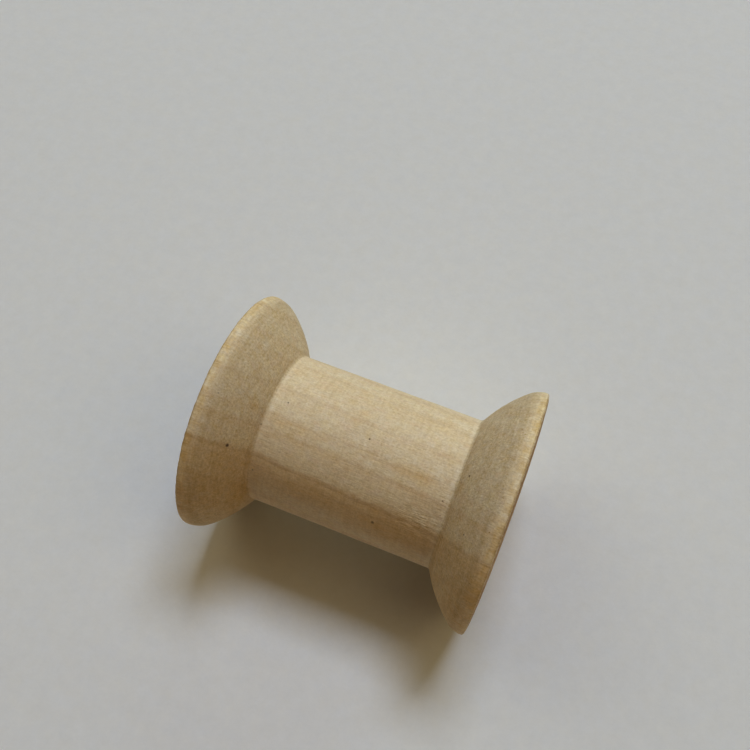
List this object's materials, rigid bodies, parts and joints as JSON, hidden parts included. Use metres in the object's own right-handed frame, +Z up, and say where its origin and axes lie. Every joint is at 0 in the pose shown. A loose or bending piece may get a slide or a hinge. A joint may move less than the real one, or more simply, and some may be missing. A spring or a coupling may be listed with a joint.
{
  "type": "wooden thread spool",
  "caption": "Small bare wooden thread spool: a straight turned barrel between flared flanges with rounded rims, and a plain through bore.",
  "frame": {"origin": "middle of the bore, halfway between the two end faces", "axes": "+X along the bore axis to one end face, +Z up with the spool lying on its side on both rims, +Y to the back"},
  "size_m": [0.027, 0.0222, 0.0222],
  "materials": {
    "turned_wood": "bare pale hardwood, turned and lightly sanded, unfinished, matt with a soft sheen on the rims"
  },
  "bodies": {
    "root": {"spool": "turned_wood"}
  },
  "joints": []
}
